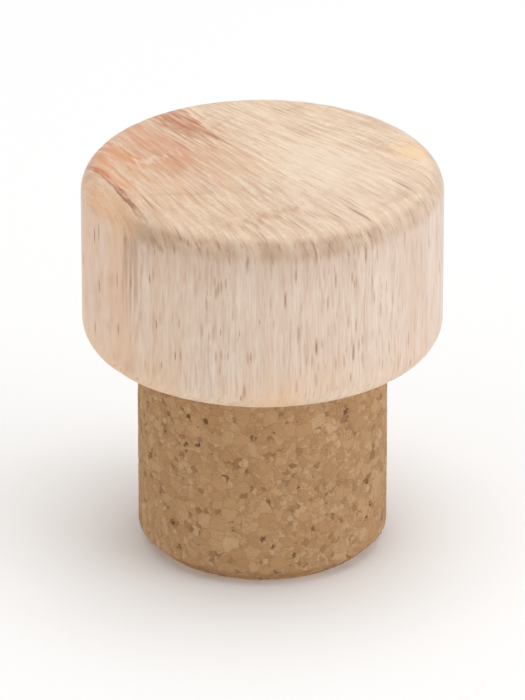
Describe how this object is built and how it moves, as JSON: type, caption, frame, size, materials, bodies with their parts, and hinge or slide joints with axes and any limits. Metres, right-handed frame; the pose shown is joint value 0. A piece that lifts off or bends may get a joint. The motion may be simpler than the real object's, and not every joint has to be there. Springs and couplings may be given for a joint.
{
  "type": "wooden bottle stopper",
  "caption": "Short turned beech head with rounded rims on a plain pressed-cork shank; pushes by hand into a wine bottle's mouth to close it again.",
  "frame": {"origin": "centre of the seat, on the stopper's axis in the plane of the head's flat underside, where it meets the bottle's lip", "axes": "+Z along the stopper's axis, out of the bottle and towards the head's flat top; -Z down the cork shank; X and Y are square to it, and the picture looks along +Y"},
  "size_m": [0.028, 0.028, 0.0315],
  "materials": {
    "beech": "matte",
    "pressed_cork": "matte"
  },
  "bodies": {
    "root": {"wooden_head": "beech", "cork_shank": "pressed_cork"}
  },
  "joints": []
}
